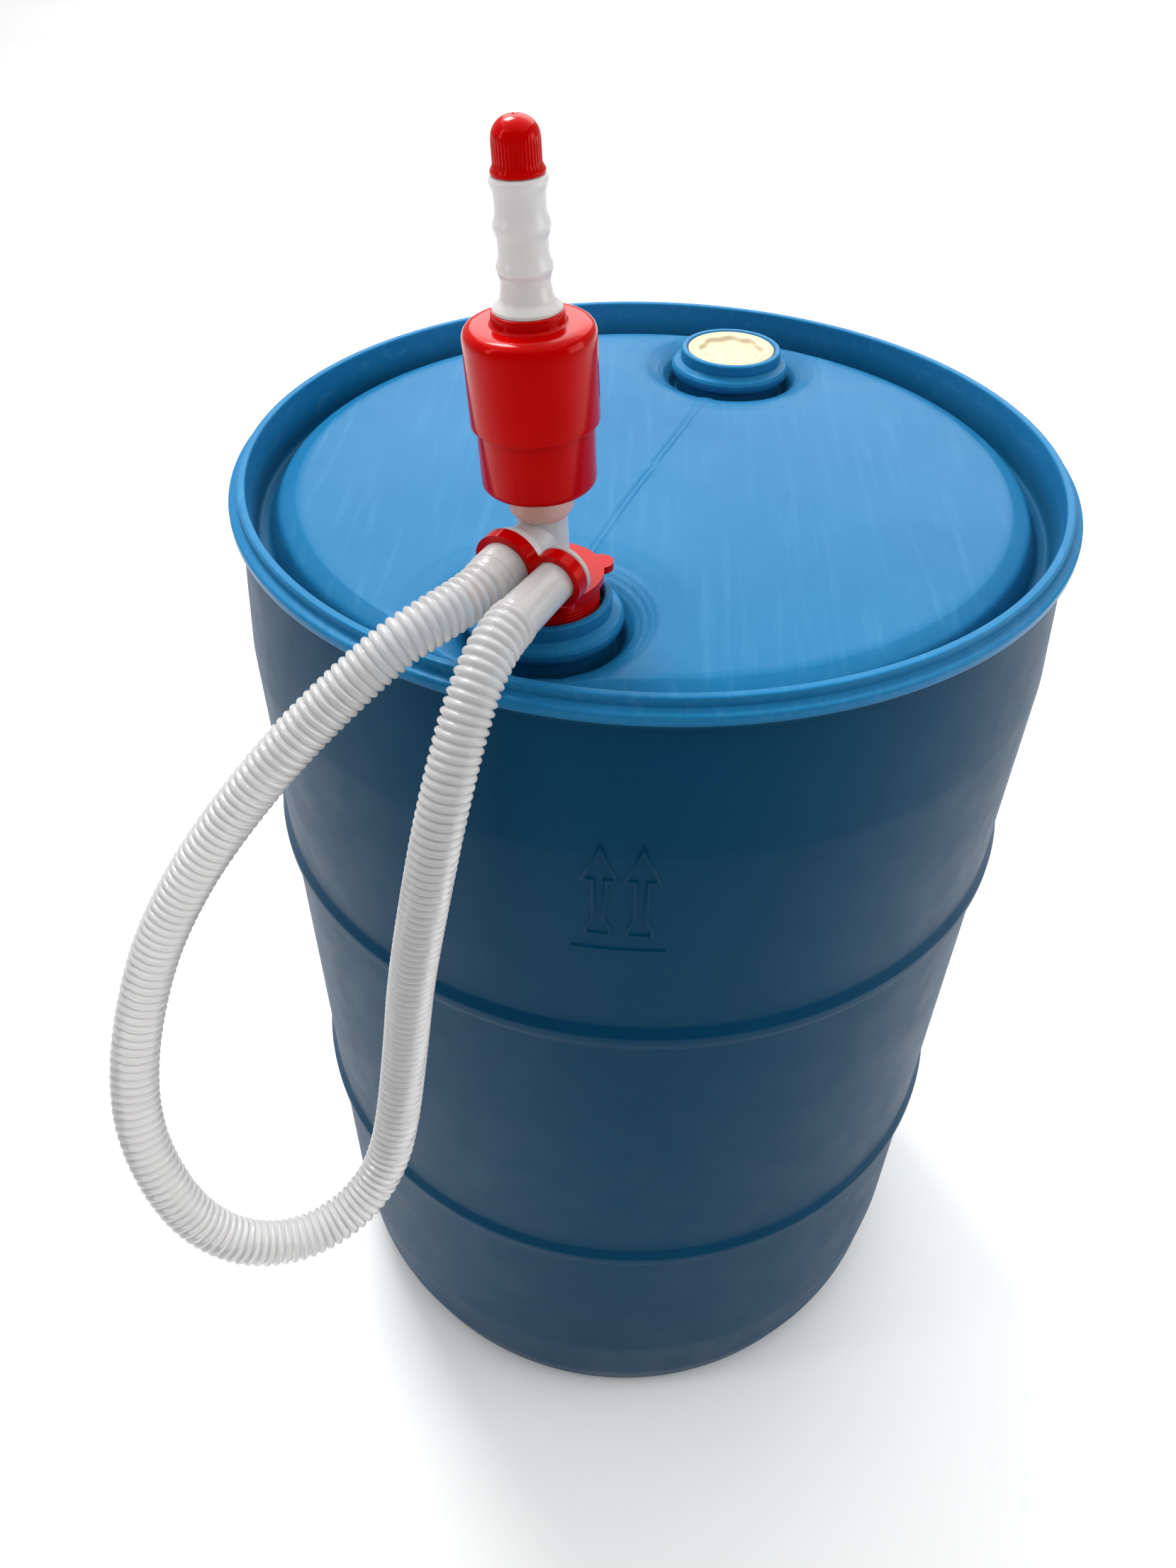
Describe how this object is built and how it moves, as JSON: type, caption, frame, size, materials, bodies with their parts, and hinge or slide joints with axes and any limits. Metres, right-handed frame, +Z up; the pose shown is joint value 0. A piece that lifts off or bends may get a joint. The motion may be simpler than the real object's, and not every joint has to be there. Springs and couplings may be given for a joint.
{
  "type": "plastic drum with siphon pump",
  "caption": "Closed-head blue plastic drum with a hand siphon pump in one bung, a plug in the other and a looped corrugated hose.",
  "frame": {"origin": "centre of the drum's base, on the floor", "axes": "+Z up along the drum's axis, -Y towards the side where the pump and its hose are, +X to the right seen from there"},
  "size_m": [0.6044, 0.7673, 1.1408],
  "materials": {
    "drum_plastic": "blow-moulded blue polyethylene, faintly glossy",
    "plug_plastic": "cream polyethylene, matte",
    "gasket_rubber": "black rubber",
    "red_plastic": "injection-moulded red polypropylene, glossy",
    "clear_plastic": "milky white polyethylene, lets light through",
    "valve_plastic": "white plastic, matte",
    "valve_rubber": "dark rubber",
    "tube_plastic": "milky white polyethylene, lets light through",
    "collar_plastic": "peach-coloured plastic, satin",
    "hose_plastic": "corrugated milky white polyethylene, lets light through"
  },
  "bodies": {
    "drum": {"drum_shell": "drum_plastic", "pump_tee": "clear_plastic", "stem_collar": "collar_plastic", "pump_cup": "red_plastic", "cup_seal": "gasket_rubber", "stem_nut": "clear_plastic", "inlet_valve_seat": "valve_plastic", "inlet_valve_cage": "valve_plastic", "outlet_valve_seat": "valve_plastic", "outlet_valve_cage": "valve_plastic", "suction_tube_upper": "tube_plastic", "suction_tube_lower": "tube_plastic", "tube_coupling": "clear_plastic", "suction_foot": "red_plastic", "hose_clip": "red_plastic", "hose_cuff": "hose_plastic", "hose_end": "hose_plastic", "hose": "hose_plastic"},
    "bung_gasket": {"bung_gasket": "gasket_rubber"},
    "bung_plug": {"bung_plug": "plug_plastic"},
    "adapter": {"pump_adapter": "red_plastic"},
    "pump_head": {"pump_sleeve": "red_plastic", "grip_tube": "clear_plastic"},
    "vent_washer": {"vent_washer": "gasket_rubber"},
    "vent_cap": {"vent_cap": "red_plastic"},
    "inlet_valve": {"inlet_valve_disc": "valve_rubber"},
    "outlet_valve": {"outlet_valve_disc": "valve_rubber"}
  },
  "joints": [
    {"name": "plug_lift", "type": "slide", "parent": "drum", "child": "bung_gasket", "axis": [0, 0, 1], "range_m": [0, 0.012]},
    {"name": "plug_turn", "type": "hinge", "parent": "bung_gasket", "child": "bung_plug", "pos_m": [0.06017, 0.18968, 0.87], "axis": [0, 0, 1], "range_deg": [0, 720]},
    {"name": "adapter_turn", "type": "hinge", "parent": "drum", "child": "adapter", "pos_m": [-0.0585, -0.1893, 0.897], "axis": [-0.0489, 0, 0.9988], "continuous": true},
    {"name": "pump_stroke", "type": "slide", "parent": "drum", "child": "pump_head", "axis": [-0.0489, 0, 0.9988], "range_m": [-0.03, 0]},
    {"name": "vent_lift", "type": "slide", "parent": "pump_head", "child": "vent_washer", "axis": [-0.0489, 0, 0.9988], "range_m": [0, 0.00375]},
    {"name": "vent_turn", "type": "hinge", "parent": "vent_washer", "child": "vent_cap", "pos_m": [-0.0585, -0.1893, 0.897], "axis": [-0.0489, 0, 0.9988], "range_deg": [0, 540]},
    {"name": "inlet_valve_lift", "type": "slide", "parent": "drum", "child": "inlet_valve", "axis": [-0.0489, 0, 0.9988], "range_m": [0, 0.005]},
    {"name": "outlet_valve_lift", "type": "slide", "parent": "drum", "child": "outlet_valve", "axis": [-0.4644, -0.8808, -0.0925], "range_m": [0, 0.003], "stiffness_N_per_m": 15, "springref_m": -0.002}
  ],
  "couplings": [
    {"joint": "plug_lift", "follows": "plug_turn", "m_per_rad": 0.00095493},
    {"joint": "vent_lift", "follows": "vent_turn", "m_per_rad": 0.00039789}
  ]
}
